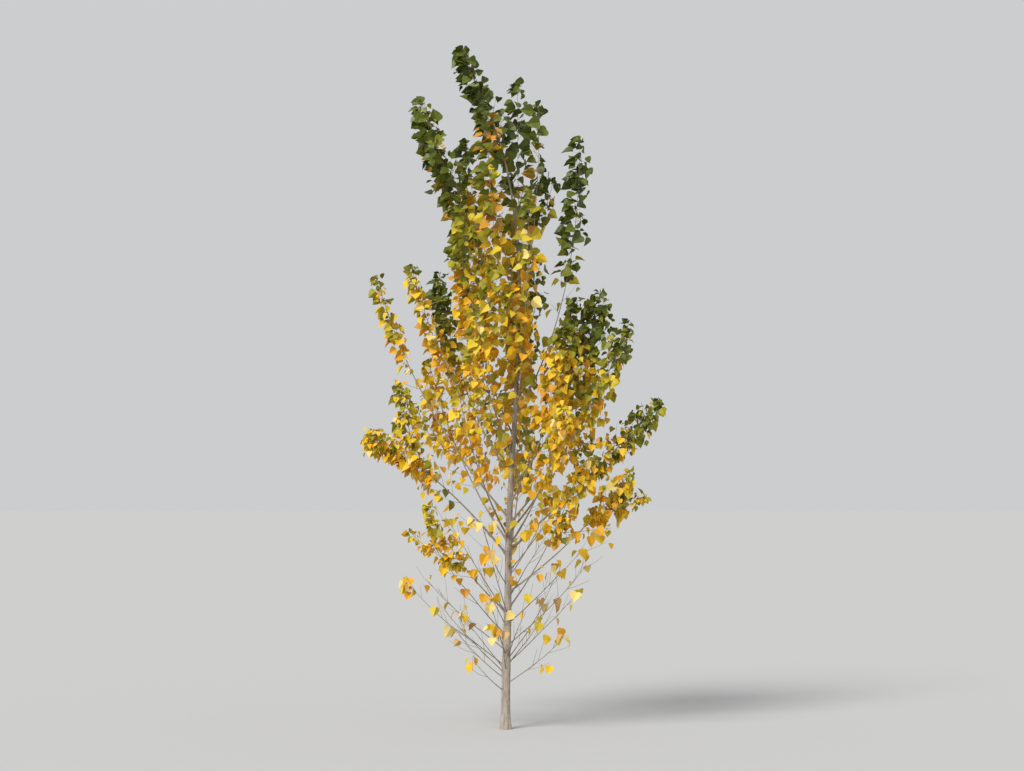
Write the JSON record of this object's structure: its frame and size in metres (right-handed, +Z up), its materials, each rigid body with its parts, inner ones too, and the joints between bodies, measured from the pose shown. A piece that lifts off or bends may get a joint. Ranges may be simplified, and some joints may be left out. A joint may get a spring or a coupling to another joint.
{
  "type": "poplar tree",
  "caption": "Young poplar in autumn leaf: a slender stem, ascending boughs and plume-shaped masses of foliage in an open, flame-shaped crown, cut flat at ground level.",
  "frame": {"origin": "middle of the flat cut under the trunk, at ground level", "axes": "+Z up the tree, +X to the right and +Y away from the side the tree is seen from"},
  "size_m": [2.3514, 2.0382, 5.3491],
  "materials": {
    "bark": "smooth grey-brown bark with small scars",
    "young_bark": "thin smooth bark of young boughs",
    "leaves": "soft satin leaves, green at the tips and yellow to gold below"
  },
  "bodies": {
    "root": {"bough_back_left": "young_bark", "bough_back_middle": "young_bark", "bough_back_right": "young_bark", "bough_back_upper": "young_bark", "bough_front_left": "young_bark", "bough_front_right": "young_bark", "bough_front_top": "young_bark", "bough_left_flank": "young_bark", "bough_left_inner_plume": "young_bark", "bough_left_outer_plume": "young_bark", "bough_low_back": "young_bark", "bough_low_back_left": "young_bark", "bough_low_back_right": "young_bark", "bough_low_front_left": "young_bark", "bough_low_front_right": "young_bark", "bough_low_left": "young_bark", "bough_low_right": "young_bark", "bough_lowest_front": "young_bark", "bough_lowest_left": "young_bark", "bough_lowest_right": "young_bark", "bough_right_flank": "young_bark", "bough_right_outer_plume": "young_bark", "bough_right_upper_plume": "young_bark", "bough_right_wand": "young_bark", "bough_top_back": "young_bark", "bough_top_inner_left": "young_bark", "bough_top_left": "young_bark", "bough_top_right": "young_bark", "foliage_back_left": "leaves", "foliage_back_middle": "leaves", "foliage_back_right": "leaves", "foliage_back_upper": "leaves", "foliage_front_left": "leaves", "foliage_front_right": "leaves", "foliage_front_top": "leaves", "foliage_leader_belly": "leaves", "foliage_leader_lower": "leaves", "foliage_leader_tip": "leaves", "foliage_left_flank": "leaves", "foliage_left_inner_plume": "leaves", "foliage_left_outer_plume": "leaves", "foliage_low_back": "leaves", "foliage_low_back_left": "leaves", "foliage_low_back_right": "leaves", "foliage_low_front_left": "leaves", "foliage_low_front_right": "leaves", "foliage_low_left": "leaves", "foliage_low_right": "leaves", "foliage_lowest_front": "leaves", "foliage_lowest_left": "leaves", "foliage_lowest_right": "leaves", "foliage_right_flank": "leaves", "foliage_right_outer_plume": "leaves", "foliage_right_upper_plume": "leaves", "foliage_right_wand": "leaves", "foliage_top_back": "leaves", "foliage_top_inner_left": "leaves", "foliage_top_left": "leaves", "foliage_top_right": "leaves", "trunk": "bark"}
  },
  "joints": []
}
